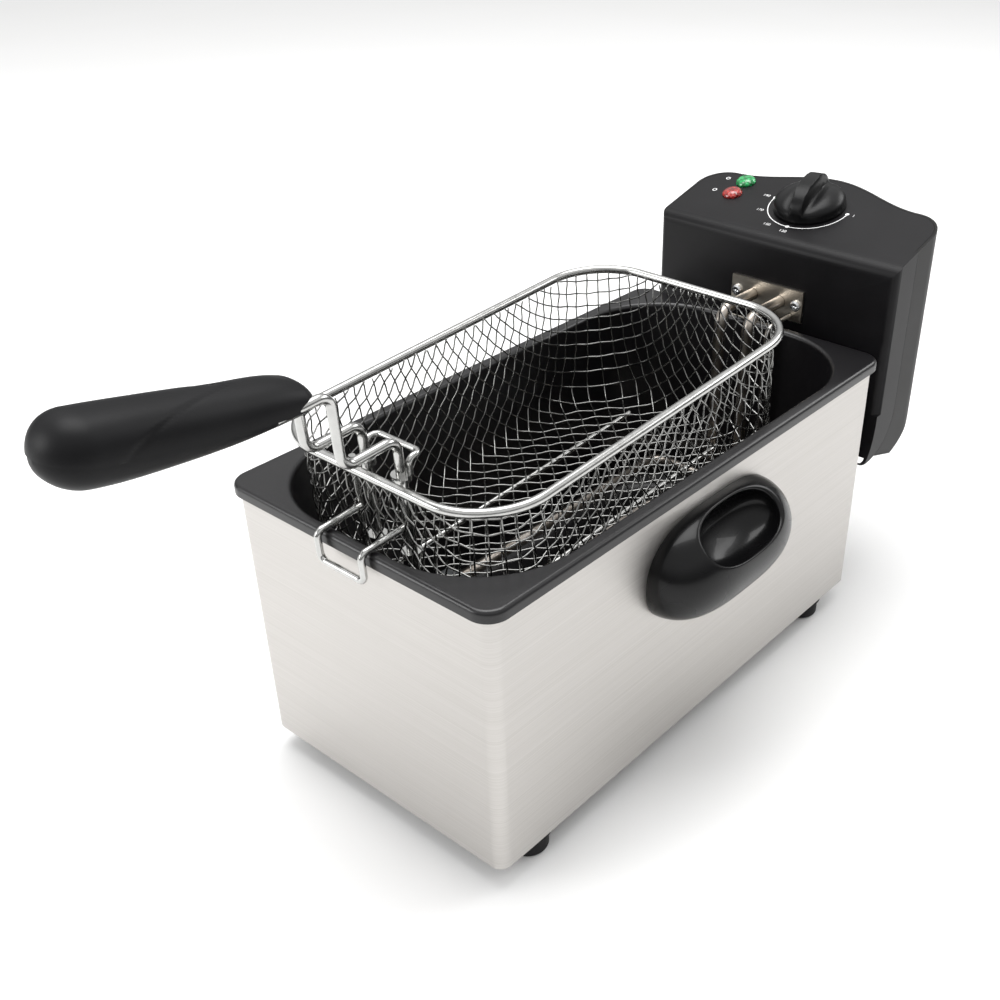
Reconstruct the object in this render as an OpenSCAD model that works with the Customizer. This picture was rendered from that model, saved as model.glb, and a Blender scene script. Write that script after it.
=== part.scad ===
// Deep fryer: steel housing, lift-out enamelled oil tank, lift-off control unit with an
// immersion element, and a wire basket hooked on the front rim to drain.
// Origin: on the table under the middle of the housing. +X across, +Y to the control unit.

/* [Housing] */
// Width of the steel housing
body_w = 180; // [178:1:184]
// Length of the steel housing, front to back
body_l = 345; // [344:1:348]
// Corner radius of the housing
body_r = 7; // [6.5:0.5:9]
// Height of the feet
foot_h = 15; // [13:1:20]
// Diameter of a foot
foot_d = 23; // [18:1:26]

/* [Oil tank] */
// Height of the tank rim above the table
rim_z = 178.8; // [178:0.2:180]
// How far the tank rim stands out past the housing
rim_over = 3.5; // [3.2:0.1:4.5]
// Depth of the tank below its rim
tank_depth = 140; // [125:1:145]
// Corner radius of the tank
tank_r = 59; // [56:1:62]

/* [Control unit] */
// Half of the control unit's width
unit_hw = 89; // [88:0.5:92]
// Distance from the origin to the unit's front wall
unit_y = 188.5; // [188:0.5:190]
// Slope of the control panel, in degrees
panel_tilt = 14; // [12:1:16]
// Radius of the knob at its base
knob_r = 23.5; // [21:0.5:25]

/* [Basket] */
// Width of the basket rim between wire centres
basket_w = 155; // [148:1:157]
// Length of the basket rim between wire centres
basket_l = 260; // [240:1:262]
// Depth of the basket
basket_h = 85; // [75:1:90]
// Angle at which the hooked basket leans, in degrees
basket_tilt = 3.1; // [2.5:0.1:3.5]

/* [Hidden] */
$fn = 48;
sheet = 1;              // steel sheet of the housing
plastic = 2.2;          // moulded wall of the control unit
shell_top = rim_z - 1.2;      // top edge of the housing, under the tank rim
tank_w = body_w - 7.5;        // outside of the tank bowl
tank_l = body_l - 4.7;
floor_z = rim_z - tank_depth; // underside of the tank floor
foot_x = 76;
foot_y = 138;
grip_z = 128.4;         // axis height of the side grips
grip_r = 31;            // how far a side grip bulges from the wall
grip_l = 116;
grip_hole_y = 42;
panel_y = 184.5;        // a point of the control panel, on the unit's centre line
panel_z = 227.4;
seam_y = 212.6;         // joint between the two halves of the unit's casing
lip_r = 9;              // round front edge of the control panel
boss_x = 66;            // screw bosses inside the unit's casing
boss_z = 205;
gland_z = 200;
dial_y = 232;           // where the knob's axis meets the panel
lamp_x = -57;
lamp_ys = [226.3, 242.5]; // power lamp, ready lamp
lamp_r = 6.8;
basket_y = -157.7;      // front wire of the basket rim, hooked to drain
basket_z = 207.3;
basket_r = 38;
wire_x = 12.3;          // the two legs of the basket handle
leg_y = 9.5;
handle_z = 20;
hook_z = -25.2;         // height of the drain hook on the front wall
plate_z = 190;          // where the element's legs leave the unit
leg_x = 10.4;
tube_d = 7.6;
element_z = floor_z + 27;
bulb_x = 19;            // sensor bulb, clear of the element's legs
slot_w = 66;            // sliding tongue between the housing and the unit
tongue_y = body_l / 2 + 4.7;
channel_top = 164.1;
key_y = 184.5;          // where the seated unit's safety switch is pressed

// ---- shared geometry ----

// Height of the control panel at a given y.
function panel_at(y) = panel_z + tan(panel_tilt) * (y - panel_y);

// Points of an arc about c, from angle a to angle b.
function arc(c, r, a, b, n = 8) =
    [for (i = [0:n]) c + r * [cos(a + (b - a) * i / n), sin(a + (b - a) * i / n)]];

// Flat plate with round corners, lying on z.
module round_plate(w, l, r, z, h) {
    translate([-w / 2 + r, -l / 2, z]) cube([w - 2 * r, l, h]);
    translate([-w / 2, -l / 2 + r, z]) cube([w, l - 2 * r, h]);
    for (sx = [-1, 1], sy = [-1, 1])
        translate([sx * (w / 2 - r), sy * (l / 2 - r), z]) cylinder(h = h, r = r);
}

// Carries a profile, drawn outwards from x = 0, round a rectangle with round corners.
module around(w, l, r) {
    for (k = [0:3]) {
        long = k % 2 == 0;
        half = (long ? w : l) / 2;
        run = (long ? l : w) - 2 * r;
        rotate([0, 0, 90 * k]) {
            translate([half, run / 2, 0]) rotate([90, 0, 0]) linear_extrude(run) children();
            translate([half - r, run / 2, 0])
                rotate_extrude(angle = 90) translate([r, 0]) children();
        }
    }
}

// Frame with its Z along u, and its X towards v.
module aim(origin, u, v) {
    z = u / norm(u);
    x0 = v - (v * z) * z;
    x = x0 / norm(x0);
    y = cross(z, x);
    multmatrix([[x[0], y[0], z[0], origin[0]], [x[1], y[1], z[1], origin[1]],
        [x[2], y[2], z[2], origin[2]], [0, 0, 0, 1]]) children();
}

function turn(p, i) = acos((p[i] - p[i - 1]) * (p[i + 1] - p[i])
    / norm(p[i] - p[i - 1]) / norm(p[i + 1] - p[i]));
function setback(p, i, bend) = i == 0 || i == len(p) - 1 ? 0 : bend * tan(turn(p, i) / 2);

// Round wire along the points p, with every corner bent to one radius.
module bent_wire(p, d, bend) {
    for (i = [0:len(p) - 2]) {
        u = (p[i + 1] - p[i]) / norm(p[i + 1] - p[i]);
        side = abs(u[2]) < 0.9 ? [0, 0, 1] : [0, 1, 0];
        start = setback(p, i, bend);
        run = norm(p[i + 1] - p[i]) - start - setback(p, i + 1, bend);
        aim(p[i] + start * u, u, side) cylinder(h = run, d = d);
    }
    for (i = [1:1:len(p) - 2]) {
        u = (p[i] - p[i - 1]) / norm(p[i] - p[i - 1]);
        v = (p[i + 1] - p[i]) / norm(p[i + 1] - p[i]);
        inward = (v - (v * u) * u) / norm(v - (v * u) * u);
        centre = p[i] - setback(p, i, bend) * u + bend * inward;
        aim(centre, cross(-inward, u), -inward)
            rotate_extrude(angle = turn(p, i)) translate([bend, 0]) circle(d = d);
    }
}

// Puts a thing on the control panel, standing square to it.
module on_panel(x, y) {
    translate([x, y, panel_at(y)]) rotate([panel_tilt, 0, 0]) children();
}

// Frame of the hooked basket: its front rim wire is the X axis, +Y to the back.
module in_basket() {
    translate([0, basket_y, basket_z]) rotate([basket_tilt, 0, 0]) children();
}

// Pan-head screw with its shank down along -Z and its head above z = 0.
module pan_screw(d, l, head_d, head_h) {
    translate([0, 0, -l]) cylinder(h = l, d = d);
    difference() {
        union() {
            cylinder(h = head_h * 0.6, d = head_d);
            translate([0, 0, head_h * 0.6]) cylinder(h = head_h * 0.4, d1 = head_d, d2 = head_d * 0.7);
        }
        for (a = [0, 90]) rotate([0, 0, a])
            translate([-head_d * 0.28, -0.5, head_h * 0.55]) cube([head_d * 0.56, 1, head_h]);
    }
}

// ---- housing ----

// Folded sheet-steel sleeve with a hem that carries the base plate.
module housing_shell() color("gainsboro") difference() {
    around(body_w, body_l, body_r) {
        translate([-sheet, foot_h]) square([sheet, shell_top - foot_h]);
        translate([-body_r + 0.5, foot_h]) square([body_r - 0.5 - sheet / 2, sheet]);
    }
    for (s = [-1, 1], y = [-grip_hole_y, grip_hole_y])
        translate([s * body_w / 2, y, grip_z - 12]) rotate([0, 90, 0])
            cylinder(h = 6, d = 4.6, center = true);
    for (s = [-1, 1], z = [112, 150])
        translate([s * 25, body_l / 2, z]) rotate([90, 0, 0])
            cylinder(h = 6, d = 4.2, center = true);
}

// Moulded floor of the housing, with cooling slots.
module base_plate() color("#26262a") difference() {
    round_plate(body_w - 3, body_l - 3, body_r - 1.6, foot_h + sheet, 2);
    for (sx = [-1, 1], sy = [-1, 1])
        translate([sx * foot_x, sy * foot_y, 0]) cylinder(h = 40, d = 4.6);
    for (i = [-5:5]) translate([-35, i * 14 - 2, foot_h]) cube([70, 4, 6]);
}

// Rubber foot with a collar and a sunk screw.
module foot(sx, sy) color("#1d1d20") translate([sx * foot_x, sy * foot_y, 0]) difference() {
    rotate_extrude() polygon(concat([[0, 0]],
        arc([foot_d / 2 - 2.5, 2.5], 2.5, -90, 0),
        [[foot_d / 2, foot_h - 4], [foot_d / 2 + 1.5, foot_h - 4],
            [foot_d / 2 + 1.5, foot_h], [0, foot_h]]));
    translate([0, 0, -1]) cylinder(h = 7, d = 10);
    translate([0, 0, 1]) cylinder(h = foot_h, d = 4.6);
}
module foot_front_left() foot(-1, -1);
module foot_front_right() foot(1, -1);
module foot_rear_left() foot(-1, 1);
module foot_rear_right() foot(1, 1);

// The feet's screws, up through the feet into clips on the base plate.
module foot_screws() color("silver") for (sx = [-1, 1], sy = [-1, 1]) {
    translate([sx * foot_x, sy * foot_y, 6]) rotate([180, 0, 0]) pan_screw(4, 16, 8, 3);
    translate([sx * foot_x, sy * foot_y, foot_h + sheet + 2.1]) difference() {
        cylinder(h = 3, d = 9, $fn = 6);
        translate([0, 0, -1]) cylinder(h = 6, d = 4.2);
    }
}

// Moulded side grip: a long dome with a finger pocket facing up and out.
module side_grip(s) color("#202023") difference() {
    translate([s * body_w / 2, 0, grip_z]) rotate([90, 0, 0]) intersection() {
        rotate_extrude() {
            translate([0, -grip_l / 2 + 24]) square([grip_r, grip_l - 48]);
            translate([0, -grip_l / 2]) square([grip_r - 24, grip_l]);
            for (e = [-1, 1]) intersection() {
                translate([grip_r - 24, e * (grip_l / 2 - 24)]) circle(r = 24);
                translate([0, -grip_l]) square([grip_r, 2 * grip_l]);
            }
        }
        translate([s > 0 ? 0 : -60, -60, -90]) cube([60, 120, 180]);
    }
    translate([s * body_w / 2, 0, grip_z]) rotate([0, s * 45, 0]) for (y = [-16.5, 16.5])
        translate([0, y, 12]) cylinder(h = 40, r = 15.5);
    translate([s * body_w / 2, 0, grip_z]) rotate([0, s * 45, 0])
        translate([-15.5, -16.5, 12]) cube([31, 33, 40]);
    for (y = [-grip_hole_y, grip_hole_y])
        translate([s * (body_w / 2 + 4), y, grip_z - 12]) rotate([0, 90, 0])
            cylinder(h = 16, d = 4.2, center = true);
}
module side_grip_left() side_grip(-1);
module side_grip_right() side_grip(1);

// Screws from inside the housing into the side grips.
module side_grip_screws() color("silver") for (s = [-1, 1], y = [-grip_hole_y, grip_hole_y])
    translate([s * (body_w / 2 - sheet), y, grip_z - 12]) rotate([0, -90 * s, 0])
        pan_screw(4, 11, 7, 2.2);

// Steel channel on the back of the housing that the control unit slides down into.
module hanger_channel() color("#a9abad") translate([0, body_l / 2, 0]) difference() {
    translate([-slot_w / 2 - 1.2, 0, 102]) cube([slot_w + 2.4, 11.1, channel_top - 102.1]);
    translate([-slot_w / 2, 4.2, 103.2]) cube([slot_w, 5.7, 70]);
    translate([-slot_w / 2 + 7, 4.2, 103.2]) cube([slot_w - 14, 12, 70]);
    for (s = [-1, 1], z = [112, 150])
        translate([s * 25, 0, z]) rotate([90, 0, 0]) cylinder(h = 6, d = 4.2, center = true);
}
module hanger_rivets() color("silver") for (s = [-1, 1], z = [112, 150])
    translate([s * 25, body_l / 2 - sheet, z]) rotate([-90, 0, 0]) {
        translate([0, 0, -1.2]) cylinder(h = 1.2, d = 7);
        translate([0, 0, 0]) cylinder(h = sheet + 1.2, d = 4);
    }

// Bracket in the channel that presses the safety switch once the unit is seated.
module interlock_key() color("#303034") {
    translate([-4, tongue_y, 103.2]) cube([8, 4, 22]);
    translate([-4, tongue_y, 122.2]) cube([8, 10, 3]);
}

// ---- oil tank ----

// Pressed bowl with a rolled mouth, a wide flat rim and a turned-down skirt.
module oil_tank() color("#2c2c2f") {
    fillet = 16;
    roll = 1.75;
    around(tank_w, tank_l, tank_r) polygon(concat(
        arc([-fillet, floor_z + fillet], fillet, -90, 0),
        arc([roll, rim_z - 1 - roll], roll, 180, 90),
        [[roll + 1, rim_z - 1], [roll + 1, rim_z], [roll, rim_z]],
        arc([roll, rim_z - 1 - roll], roll + 1, 90, 180),
        arc([-fillet, floor_z + fillet], fillet - 1, 0, -90)));
    round_plate(tank_w - 2 * fillet, tank_l - 2 * fillet, tank_r - fillet, floor_z, 1);
    difference() {
        round_plate(body_w + 2 * rim_over - 5, body_l + 2 * rim_over - 5, 9.5, rim_z - 1, 1);
        round_plate(tank_w + 2 * roll + 2, tank_l + 2 * roll + 2, tank_r + roll + 1,
            rim_z - 5, 10);
    }
    around(body_w + 2 * rim_over, body_l + 2 * rim_over, 12) polygon(concat(
        [[-2.5, rim_z - 1]], arc([-2.5, rim_z - 2.5], 1.5, 90, 0),
        [[-1, rim_z - 6.3], [0, rim_z - 6.3]],
        arc([-2.5, rim_z - 2.5], 2.5, 0, 90)));
}

// ---- control unit ----

// Plan outline of the unit, drawn in by d: round corners and a wavy back with a hump.
function unit_plan(d = 0, front = unit_y) =
    let (hw = unit_hw - d, back = 251 - d, r = 20 - d, f = max(5 - d, 0.5))
    concat(arc([hw - f, front + d + f], f, -90, 0, 5),
        arc([hw - r, back - r], r, 0, 84, 14),
        [for (i = [0:36]) let (x = (hw - r) * (1 - i / 18))
            [x, back + 8.5 * (1 + cos(180 * x / (hw - r)))]],
        arc([r - hw, back - r], r, 96, 180, 14),
        arc([f - hw, front + d + f], f, 180, 270, 5));

// The plan carried up: its foot reaches forward, towards the housing.
module unit_column(d) {
    translate([0, 0, 80 - d]) linear_extrude(51 + d) polygon(unit_plan(d, 176));
    translate([0, 0, 130]) linear_extrude(130 + d) polygon(unit_plan(d));
}

// Front of the unit's side profile, drawn in by d: curved foot, straight wall, round lip.
function front_edge(d = 0) = concat(
    [for (a = [0:10:90]) [177 + d + 11.5 * sin(a), 130 - (30.4 - d) * cos(a)]],
    arc([unit_y + lip_r, panel_at(unit_y + lip_r) - lip_r / cos(panel_tilt)], lip_r - d,
        180, 90 + panel_tilt, 10));

// Carries a side profile across the unit's width.
module across(hw) rotate([90, 0, 90]) translate([0, 0, -hw]) linear_extrude(2 * hw) children();

// Front casing half: front wall with its round lip, forward sides, and the whole panel.
module unit_front_shell() color("#2b2a2d") {
    panel = 2.0;
    edge = seam_y - 0.2;
    back = 272;
    difference() {
        intersection() {
            unit_column(0);
            across(120) polygon(concat(front_edge(), [[back, panel_at(back)],
                [back, panel_at(back) - panel], [edge, panel_at(edge) - panel]],
                arc([182.6, 129.6], edge - 182.6, 0, -90, 12)));
        }
        intersection() {
            unit_column(plastic);
            across(110) polygon(concat([[170, 60]], front_edge(plastic),
                [[seam_y + 5, panel_at(seam_y + 5) - plastic / cos(panel_tilt)],
                    [seam_y + 5, 60]]));
        }
        difference() {
            translate([-100, seam_y, 190]) cube([200, 100, 80]);
            translate([0, 0, 180]) linear_extrude(100) polygon(unit_plan(plastic - 0.2));
        }
        translate([-slot_w / 2 - 3, 165, 90]) cube([slot_w + 6, 23, 30]);
        front_cuts();
        panel_cuts();
    }
    for (s = [-1, 1]) translate([s * boss_x, 0, boss_z]) rotate([-90, 0, 0]) difference() {
        translate([0, 0, unit_y + 1]) cylinder(h = 34, d = 9);
        translate([0, 0, 212]) cylinder(h = 20, d = 3.1);
    }
}
module front_cuts() {
    for (s = [-1, 1]) translate([s * leg_x, unit_y, plate_z]) rotate([90, 0, 0])
        cylinder(h = 14, d = tube_d + 0.6, center = true);
    translate([bulb_x, unit_y, plate_z - 7.5]) rotate([90, 0, 0])
        cylinder(h = 14, d = 3.6, center = true);
    for (s = [-1, 1]) translate([s * 22.4, unit_y, plate_z]) rotate([90, 0, 0])
        cylinder(h = 14, d = 3.4, center = true);
}
module panel_cuts() {
    on_panel(0, dial_y) cylinder(h = 12, d = 6.4, center = true);
    for (y = lamp_ys) on_panel(lamp_x, y) cylinder(h = 12, r = lamp_r + 0.1, center = true);
}

// Side profile of the rear half.
function rear_profile() = concat(
    arc([205, 132], 40, -75, -20),
    [[272, 190], [272, panel_at(272)], [seam_y, panel_at(seam_y)]],
    arc([182.6, 129.6], 30, 0, -72, 10));

// Rear casing half: back wall, hump, rear sides and curved bottom.
module unit_rear_shell() color("#242326") difference() {
    union() {
        difference() {
            intersection() {
                translate([0, 0, 80]) linear_extrude(180) polygon(unit_plan());
                across(unit_hw) polygon(rear_profile());
            }
            intersection() {
                translate([0, 0, 79]) linear_extrude(182) polygon(unit_plan(plastic - 0.4));
                across(unit_hw + 5) polygon(concat(arc([205, 132], 40 - plastic, -75, -20),
                    [[272, 190], [272, 270], [seam_y - 20, 270], [182, 100]]));
            }
        }
        for (s = [-1, 1]) translate([s * boss_x, 248, boss_z]) rotate([90, 0, 0])
            cylinder(h = 24, d = 11);
    }
    for (s = [-1, 1]) translate([s * boss_x, 0, boss_z]) rotate([-90, 0, 0]) {
        translate([0, 0, 238]) cylinder(h = 30, d = 7);
        translate([0, 0, 220]) cylinder(h = 30, d = 3.3);
    }
    translate([0, 262, gland_z]) rotate([90, 0, 0]) cylinder(h = 40, d = 12.2, center = true);
    translate([45, 250, 160]) rotate([90, 0, 0]) cylinder(h = 40, d = 9.6, center = true);
}

// Screws that clamp the two casing halves, sunk in tunnels in the back.
module unit_screws() color("silver") for (s = [-1, 1])
    translate([s * boss_x, 238, boss_z]) rotate([-90, 0, 0]) pan_screw(3, 24, 6, 2);

// Sliding tongue of the unit: it drops into the channel and its cap hangs on the top edge.
module hanger_tongue() color("#303034") difference() {
    union() {
        translate([-slot_w / 2 + 0.5, tongue_y - 0.3, 131]) cube([slot_w - 1, 4.8, 34]);
        translate([-slot_w / 2 + 8, tongue_y + 4.4, 131])
            cube([slot_w - 16, unit_y - tongue_y - 4.6, 34]);
        translate([-slot_w / 2 + 0.5, tongue_y - 0.3, channel_top])
            cube([slot_w - 1, unit_y - tongue_y + 0.1, 6]);
    }
    translate([-12.5, 181, 139]) cube([25, 10, 23.5]);
    translate([0, key_y, 120]) cylinder(h = 30, d = 4);
}

// ---- element and sensor ----

// Steel plate that closes the opening for the element's legs.
module element_plate() color("#b9b4ab") difference() {
    translate([-27, unit_y - 1.6, 178.9]) cube([54, 1.5, 21]);
    for (s = [-1, 1]) translate([s * leg_x, unit_y, plate_z]) rotate([90, 0, 0])
        cylinder(h = 14, d = tube_d + 0.4, center = true);
    translate([bulb_x, unit_y, plate_z - 7.5]) rotate([90, 0, 0])
        cylinder(h = 14, d = 3.4, center = true);
    for (s = [-1, 1]) translate([s * 22.4, unit_y, plate_z]) rotate([90, 0, 0])
        cylinder(h = 14, d = 3.2, center = true);
}
module element_plate_screws() color("silver") for (s = [-1, 1])
    translate([s * 22.4, unit_y - 1.6, plate_z]) rotate([90, 0, 0]) pan_screw(3, 9, 7, 2.4);

// Sheathed tube element: two legs over the rim, then a double loop above the tank floor.
module heating_element() color("#8f8b86") {
    for (s = [-1, 1]) bent_wire([[s * leg_x, unit_y + 16, plate_z], [s * leg_x, 150, plate_z],
        [s * leg_x, 150, element_z], [s * 58, 150, element_z], [s * 58, -122, element_z],
        [s * 22, -122, element_z], [s * 22, 100, element_z], [s * 2, 100, element_z]],
        tube_d, 10);
    translate([-2.01, 100, element_z]) rotate([0, 90, 0]) cylinder(h = 4.02, d = tube_d);
    for (s = [-1, 1]) translate([s * leg_x, unit_y + 22, plate_z]) rotate([90, 0, 0])
        cylinder(h = 6, d = 3);
}

// Strip that ties the element's runs together and stands them off the tank floor.
module element_clip() color("#a9abad") difference() {
    union() {
        translate([-66, -60, element_z - 5.5]) cube([132, 10, 11]);
        for (s = [-1, 1]) translate([s * 40 - 5, -60, floor_z + 1.3])
            cube([10, 10, element_z - floor_z - 6.7]);
    }
    for (x = [-58, -22, 22, 58]) translate([x, -70, element_z]) rotate([-90, 0, 0])
        cylinder(h = 40, d = tube_d + 0.3);
}

// Capillary from the thermostat, over the rim, to a bulb between the element's runs.
module sensor_tube() color("#c9c7c2") {
    bent_wire([[bulb_x, unit_y + 12, plate_z - 7.5], [bulb_x, 159, plate_z - 7.5],
        [bulb_x, 159, element_z + 14], [bulb_x, 70, element_z + 14]], 3, 7);
    translate([bulb_x, 70.1, element_z + 14]) rotate([90, 0, 0]) cylinder(h = 80, d = 6);
}

// ---- parts inside the unit ----

module thermostat_body() color("#5b5a52") on_panel(0, dial_y) difference() {
    union() {
        translate([-17, -15, -22]) cube([34, 30, 16]);
        translate([0, 0, -6.2]) cylinder(h = 3.4, d = 14);
    }
    translate([0, 0, -20]) cylinder(h = 30, d = 6.2);
}

module thermal_cutout() color("#c9b27a") translate([45, 240, 160]) rotate([90, 0, 0]) {
    difference() {
        cylinder(h = 12, d = 16);
        translate([0, 0, -1]) cylinder(h = 9, d = 5.2);
    }
    for (s = [-1, 1]) translate([s * 6 - 1, -3, 11.9]) cube([2, 6, 7]);
}

module terminal_block() color("#e6e2d8") translate([-42, 206, 160]) {
    cube([16, 11, 24]);
    for (i = [0:2]) translate([8, 10.9, 4 + 8 * i]) rotate([-90, 0, 0]) cylinder(h = 2, d = 5);
}

module interlock_switch() color("#4a3b32") difference() {
    translate([-12, 181.2, 142]) cube([24, 6.8, 20]);
    translate([0, key_y, 140]) cylinder(h = 8.5, d = 4.2);
}

// Faceted lens of a lamp: a shallow dome with a flange under the panel.
module lamp_lens() rotate_extrude() polygon(concat([[0, -3], [lamp_r, -3], [lamp_r, 0.8]],
    [for (a = [15:15:90]) [lamp_r * cos(a), 0.8 + 2.4 * sin(a)]]));
module power_lamp_lens() color("#b3231f") on_panel(lamp_x, lamp_ys[0]) lamp_lens();
module ready_lamp_lens() color("#0fa351") on_panel(lamp_x, lamp_ys[1]) lamp_lens();
module lamp_holders() color("#d8d4c8") for (y = lamp_ys) on_panel(lamp_x, y)
    translate([0, 0, -12]) cylinder(h = 9, r = 4.2);

// Insulated leads between the terminals, the switch, the element and the cut-out.
module wiring_harness() color("#c8452f") {
    bent_wire([[-34, 219.2, 180], [-34, 226, 180], [-34, 226, 204], [-5, 226, 204],
        [-5, 226, 209]], 2.2, 4);
    bent_wire([[-34, 219.2, 172], [-34, 229, 172], [leg_x, 229, 172], [leg_x, 229, plate_z],
        [leg_x, unit_y + 22.2, plate_z]], 2.2, 4);
    bent_wire([[-34, 219.2, 164], [-34, 232, 164], [-34, 232, 146], [39, 232, 146],
        [39, 224, 146], [39, 224, 156.8]], 2.2, 4);
}

// Gland where the supply cord would enter the back of the unit.
module cord_gland() color("#1d1d20") translate([0, 0, gland_z]) rotate([-90, 0, 0]) difference() {
    union() {
        translate([0, 0, 254]) cylinder(h = 20, d1 = 12, d2 = 11);
        translate([0, 0, 268.2]) cylinder(h = 3, d = 17);
        translate([0, 0, 260]) cylinder(h = 3, d = 16);
    }
    translate([0, 0, 250]) cylinder(h = 40, d = 7.4);
}

// Round knob with a tall finger bar that points at the setting.
module temperature_knob() color("#232225") on_panel(0, dial_y) rotate([0, 0, 8]) difference() {
    union() {
        translate([0, 0, 0.6]) cylinder(h = 2.6, r = knob_r);
        intersection() {
            translate([0, 0, -20.2]) sphere(r = 33, $fn = 64);
            translate([0, 0, 3.1]) cylinder(h = 40, r = knob_r - 0.6);
        }
        intersection() {
            translate([-5, -knob_r, 3]) cube([10, 2 * knob_r, 18]);
            translate([-6, 0, -3]) rotate([0, 90, 0]) cylinder(h = 12, r = 24, $fn = 64);
            cylinder(h = 40, r = knob_r - 0.6);
        }
    }
    translate([0, 0, -1]) cylinder(h = 9, d = 6.06);
}
module thermostat_shaft() color("silver") on_panel(0, dial_y) {
    translate([0, 0, -19]) cylinder(h = 27, d = 6);
}

// Push-in reset of the thermal cut-out, at the back.
module reset_button() color("#b3231f") translate([45, 0, 160]) rotate([-90, 0, 0]) {
    translate([0, 0, 235]) cylinder(h = 25, d = 5);
    translate([0, 0, 247.5]) cylinder(h = 8, d = 9.4);
}

// Plunger of the safety switch.
module interlock_plunger() color("#e8e6e0")
    translate([0, key_y, 125.3]) cylinder(h = 20.7, d = 3.9);

// ---- basket ----

module basket_rim() color("#d9d9d7") in_basket() translate([0, basket_l / 2, 0])
    around(basket_w, basket_l, basket_r) circle(d = 5, $fn = 24);

// Drawn mesh pan, as a closed skin of the mesh's outer shape.
module basket_mesh() color("#c4c4c2") in_basket() difference() {
    translate([0, basket_l / 2, 0]) {
        around(basket_w - 5.2, basket_l - 5.2, basket_r - 2.6) polygon(concat(
            arc([-12, 12 - basket_h], 12, -90, 0), [[0, 0], [-1.4, 0]],
            arc([-12, 12 - basket_h], 10.6, 0, -90)));
        round_plate(basket_w - 29.2, basket_l - 29.2, basket_r - 14.6, -basket_h, 1.4);
    }
    for (s = [-1, 1]) translate([s * 15.5, 0, hook_z]) rotate([90, 0, 0])
        cylinder(h = 20, d = 4, center = true);
}

// Wire hook that hangs the basket on the front rim of the tank.
module basket_hook() color("#d9d9d7") in_basket() bent_wire([[-15.5, 4.4, hook_z],
    [-15.5, -23.6, hook_z], [-15.5, -23.6, hook_z - 16], [15.5, -23.6, hook_z - 16],
    [15.5, -23.6, hook_z], [15.5, 4.4, hook_z]], 3.7, 4);

// Two stiff wires under the mesh floor.
module basket_base_wires() color("#c4c4c2") in_basket() for (s = [-1, 1])
    bent_wire([[s * 34, 20, -basket_h - 1.6], [s * 34, basket_l - 20, -basket_h - 1.6]], 3, 1);

// Bracket inside the front wall: two eyes for the handle's legs, an arch and two struts.
module handle_bracket() color("#d0d0ce") in_basket() {
    for (s = [-1, 1]) {
        for (z = [-2, -46]) translate([s * wire_x, leg_y, z]) difference() {
            cylinder(h = 3.4, r = 5);
            translate([0, 0, -1]) cylinder(h = 6, r = 2.55);
        }
        translate([s * (wire_x + 5.9), 6.2, -50]) cylinder(h = 52, d = 3.4);
        for (z = [-0.3, -44.3]) translate([s * (wire_x + 4.4), 6.2, z]) rotate([0, 90 * s, 0])
            cylinder(h = 1.5, d = 3);
    }
    bent_wire([[-wire_x - 2.6, leg_y + 3.6, 0], [-wire_x - 2.6, leg_y + 3.6, 9],
        [-wire_x - 2.6, leg_y + 11, 9], [wire_x + 2.6, leg_y + 11, 9],
        [wire_x + 2.6, leg_y + 3.6, 9], [wire_x + 2.6, leg_y + 3.6, 0]], 3.2, 3.4);
}

// ---- basket handle ----

wire_top = 57.5;              // height at which the legs enter the grip
grip_from = [0, -27, 55.5];   // basket end of the grip's centre line
grip_to = [0, -146, 82.5];    // free end
grip_rise = atan2(grip_to[2] - grip_from[2], grip_from[1] - grip_to[1]);
grip_len = norm(grip_to - grip_from);

// Frame of the grip: +X across, +Y along it to the free end, +Z up.
module in_grip() in_basket() translate(grip_from) rotate([-grip_rise, 0, 0])
    mirror([0, 1, 0]) children();

// Two bent legs: down through the bracket's eyes, over the rim, up and into the grip.
module handle_wires() color("#d9d9d7") in_basket() for (s = [-1, 1])
    bent_wire([[s * wire_x, leg_y, -50], [s * wire_x, leg_y, handle_z],
        [s * wire_x, -22.9, handle_z], [s * wire_x, -22.9, wire_top],
        [s * wire_x, -52, wire_top]], 5, 7);

// Stations of the grip: distance along it, half width, half height, height of the centre.
grip_stations = [[6, 14.8, 7.5, 0.5], [24, 16.2, 11.5, 0], [60, 16.8, 13.5, -0.5],
    [96, 17.6, 15, 0.5], [110, 12, 12.2, 0.3]];
module grip_body() hull() for (g = grip_stations)
    translate([0, g[0], g[3]]) rotate([-90, 0, 0]) scale([g[1], g[2], g[0] < 10 ? 6 : 12])
        sphere(r = 1, $fn = 32);
module wire_channels() in_basket() for (s = [-1, 1])
    translate([s * wire_x, -20, wire_top]) rotate([90, 0, 0]) cylinder(h = 33, d = 5.4);

module handle_grip_upper() color("#1f1f22") difference() {
    in_grip() difference() {
        intersection() {
            grip_body();
            translate([-40, -20, -1.9]) cube([80, 170, 60]);
        }
        for (y = [66, 92]) translate([0, y, -10]) cylinder(h = 16, d = 3.2);
    }
    wire_channels();
}
module handle_grip_lower() color("#19191c") difference() {
    in_grip() difference() {
        intersection() {
            grip_body();
            translate([-40, -20, -62.2]) cube([80, 170, 60]);
        }
        for (y = [66, 92]) {
            translate([0, y, -20]) cylinder(h = 30, d = 3.4);
            translate([0, y, -30]) cylinder(h = 22, d = 7);
        }
    }
    wire_channels();
}
module handle_screws() color("silver") in_grip() for (y = [66, 92])
    translate([0, y, -8]) rotate([180, 0, 0]) pan_screw(3, 12, 6, 2);

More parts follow.
